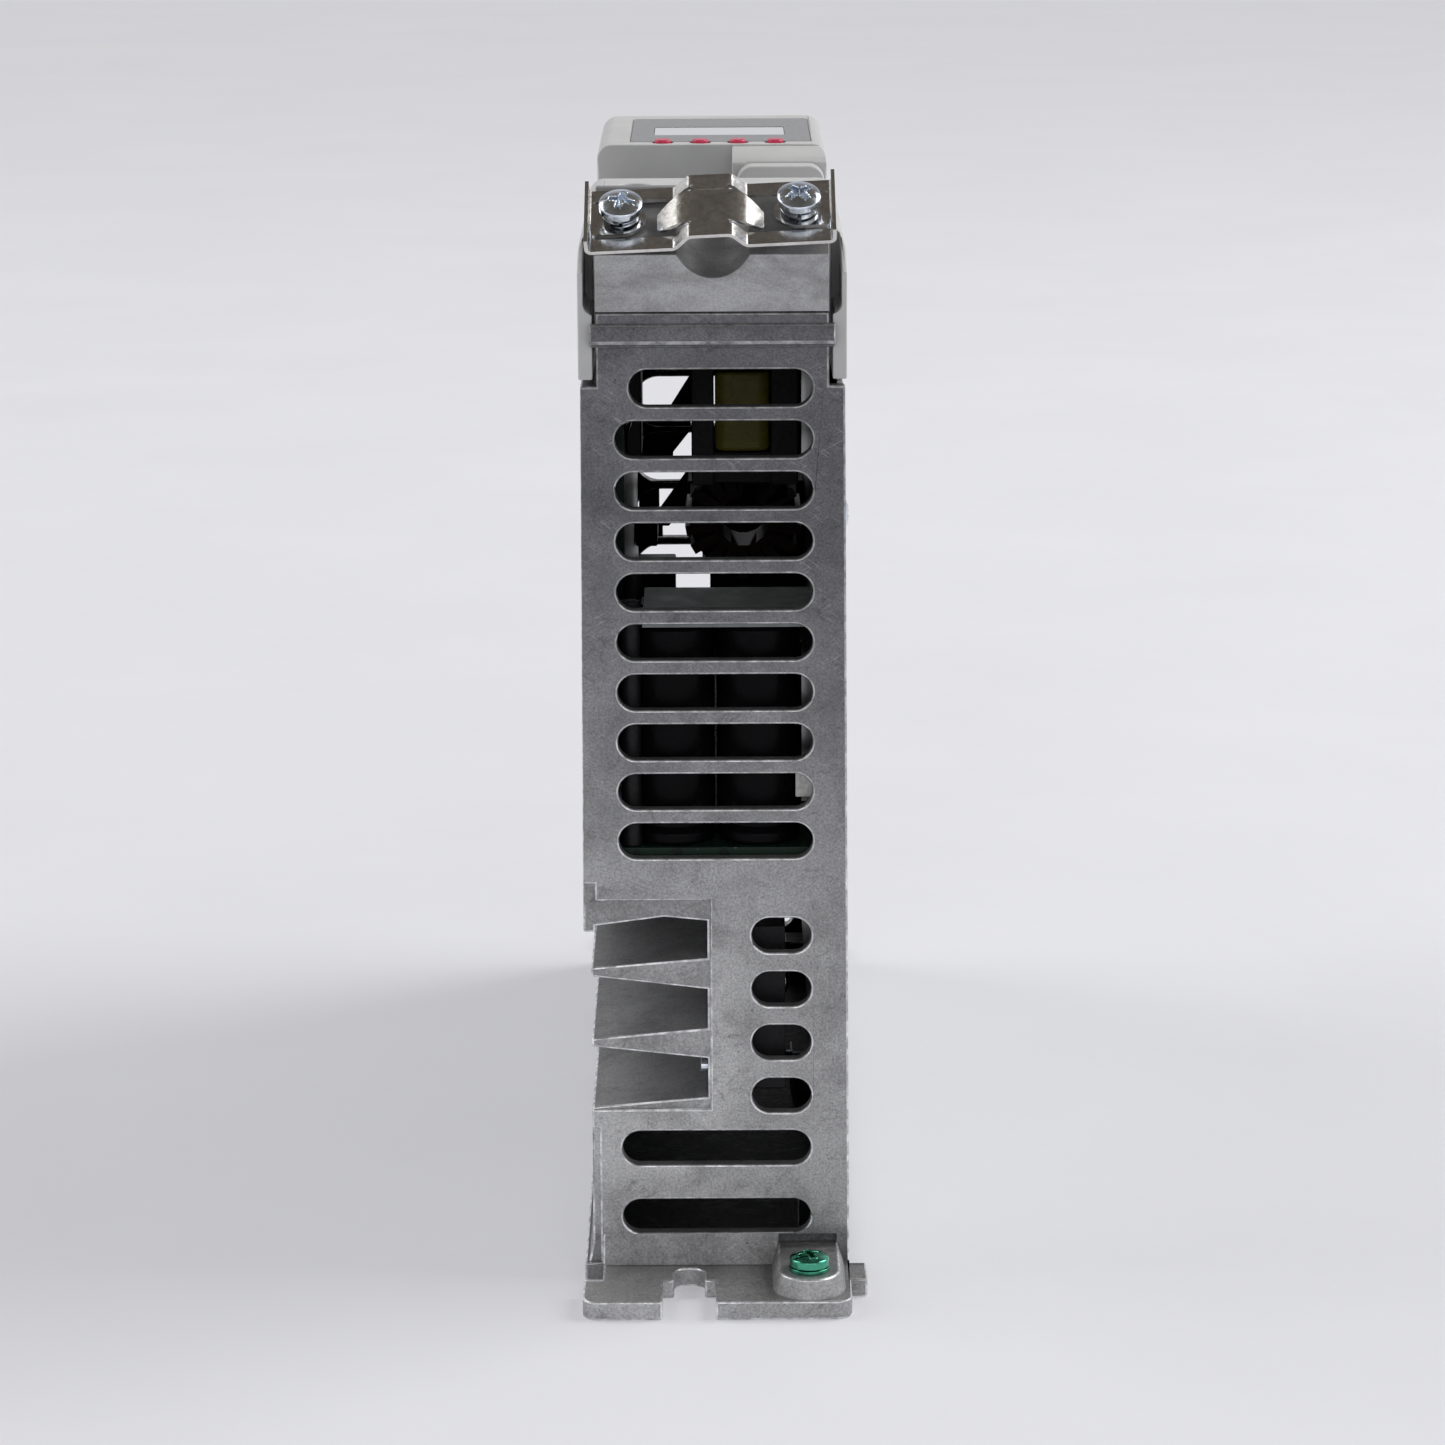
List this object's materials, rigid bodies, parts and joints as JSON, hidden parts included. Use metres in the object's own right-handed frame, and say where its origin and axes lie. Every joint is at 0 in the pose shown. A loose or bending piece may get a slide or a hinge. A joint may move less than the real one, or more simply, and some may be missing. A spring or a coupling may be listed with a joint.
{
  "type": "panel-mounted power converter",
  "caption": "Book-format power converter with cast chassis, vent slots, side fins, plastic front hood with display and keys, and a shield clamp for the motor cable.",
  "frame": {"origin": "middle of the mounting face, halfway between the end walls", "axes": "+Z out of the mounting face towards the operating front, +Y from the cable-clamp end to the far end, +X towards the side cover"},
  "size_m": [0.0546, 0.259, 0.2146],
  "materials": {
    "cast_aluminium": "as-cast, lightly stained",
    "bracket_aluminium": "bead blasted",
    "cover_sheet": "brushed",
    "hood_plastic": "fine moulded texture",
    "panel_film": "satin film",
    "window_clear": "polished",
    "key_red": "gloss",
    "nickel_sheet": "bright nickel",
    "zinc_screw": "bright zinc",
    "green_zinc": "green passivated",
    "board_laminate": "solder mask",
    "capacitor_sleeve": "shrink sleeve",
    "deck_sheet": "satin",
    "winding_tape": "polyester tape",
    "ferrite": "sintered",
    "copper_enamel": "enamel",
    "black_plastic": "moulded",
    "grey_plastic": "moulded",
    "white_plastic": "moulded",
    "ribbon_black": "satin",
    "thermal_pad": "matt"
  },
  "bodies": {
    "housing": {"chassis_casting": "cast_aluminium", "side_cover": "cover_sheet", "cover_screws": "zinc_screw", "front_hood": "hood_plastic", "hood_screws": "zinc_screw", "display_panel": "panel_film", "display_window": "window_clear", "display_module": "board_laminate", "keypad_board": "board_laminate", "ribbon_cable": "ribbon_black", "shield_bracket": "bracket_aluminium", "bracket_screws": "zinc_screw", "power_board": "board_laminate", "control_board": "board_laminate", "board_spacers": "zinc_screw", "board_screws": "zinc_screw", "capacitor_board": "board_laminate", "bus_capacitors": "capacitor_sleeve", "insulating_deck": "deck_sheet", "deck_pillars": "black_plastic", "transformer_core": "ferrite", "transformer_winding": "winding_tape", "filter_choke": "ferrite", "choke_winding": "copper_enamel", "precharge_relay": "black_plastic", "film_capacitors": "black_plastic", "power_module": "black_plastic", "heat_pad": "thermal_pad", "module_screws": "zinc_screw", "sense_connector": "white_plastic", "power_socket": "black_plastic", "control_socket": "black_plastic", "network_jacks": "zinc_screw", "encoder_socket": "zinc_screw", "module_header": "black_plastic", "mains_socket": "black_plastic"},
    "key_1": {"key_1": "key_red"},
    "key_2": {"key_2": "key_red"},
    "key_3": {"key_3": "key_red"},
    "key_4": {"key_4": "key_red"},
    "clamp": {"shield_clamp": "nickel_sheet", "clamp_washers": "zinc_screw"},
    "clamp_screw_left": {"clamp_screw_left": "zinc_screw"},
    "clamp_screw_right": {"clamp_screw_right": "zinc_screw"},
    "ground_washer": {"ground_washer": "green_zinc"},
    "ground_screw": {"ground_screw": "green_zinc"},
    "power_plug": {"power_plug": "grey_plastic", "power_plug_screws": "zinc_screw"},
    "control_plug": {"control_plug": "grey_plastic"},
    "mains_plug": {"mains_plug": "grey_plastic", "mains_plug_screws": "zinc_screw"},
    "parameter_module": {"parameter_module": "hood_plastic"}
  },
  "joints": [
    {"name": "key_1_press", "type": "slide", "parent": "housing", "child": "key_1", "axis": [0, 0, 1], "range_m": [-0.0005, 0], "stiffness_N_per_m": 400, "springref_m": 0.0003},
    {"name": "key_2_press", "type": "slide", "parent": "housing", "child": "key_2", "axis": [0, 0, 1], "range_m": [-0.0005, 0], "stiffness_N_per_m": 400, "springref_m": 0.0003},
    {"name": "key_3_press", "type": "slide", "parent": "housing", "child": "key_3", "axis": [0, 0, 1], "range_m": [-0.0005, 0], "stiffness_N_per_m": 400, "springref_m": 0.0003},
    {"name": "key_4_press", "type": "slide", "parent": "housing", "child": "key_4", "axis": [0, 0, 1], "range_m": [-0.0005, 0], "stiffness_N_per_m": 400, "springref_m": 0.0003},
    {"name": "clamp_lift", "type": "slide", "parent": "housing", "child": "clamp", "axis": [0, -0.5225, 0.8526], "range_m": [0, 0.0035]},
    {"name": "clamp_screw_left_turn", "type": "hinge", "parent": "clamp", "child": "clamp_screw_left", "pos_m": [-0.01685, -0.09919, 0.20526], "axis": [0, -0.5225, 0.8526], "range_deg": [0, 1800]},
    {"name": "clamp_screw_right_turn", "type": "hinge", "parent": "clamp", "child": "clamp_screw_right", "pos_m": [0.01615, -0.09919, 0.20526], "axis": [0, -0.5225, 0.8526], "range_deg": [0, 1800]},
    {"name": "ground_washer_lift", "type": "slide", "parent": "housing", "child": "ground_washer", "axis": [0, 0, 1], "range_m": [0, 0.0035]},
    {"name": "ground_screw_turn", "type": "hinge", "parent": "ground_washer", "child": "ground_screw", "pos_m": [0.0176, -0.122, 0.0083], "axis": [0, 0, 1], "range_deg": [0, 1800]},
    {"name": "power_plug_pull", "type": "slide", "parent": "housing", "child": "power_plug", "axis": [0, 0, 1], "range_m": [0, 0.02]},
    {"name": "control_plug_pull", "type": "slide", "parent": "housing", "child": "control_plug", "axis": [0, 0, 1], "range_m": [0, 0.015]},
    {"name": "mains_plug_pull", "type": "slide", "parent": "housing", "child": "mains_plug", "axis": [0, 1, 0], "range_m": [0, 0.022]},
    {"name": "parameter_module_pull", "type": "slide", "parent": "housing", "child": "parameter_module", "axis": [0, 0, 1], "range_m": [0, 0.016]}
  ],
  "couplings": [
    {"joint": "clamp_screw_left_turn", "follows": "clamp_lift", "rad_per_m": 8975.9},
    {"joint": "clamp_screw_right_turn", "follows": "clamp_lift", "rad_per_m": 8975.9},
    {"joint": "ground_screw_turn", "follows": "ground_washer_lift", "rad_per_m": 8975.9}
  ]
}
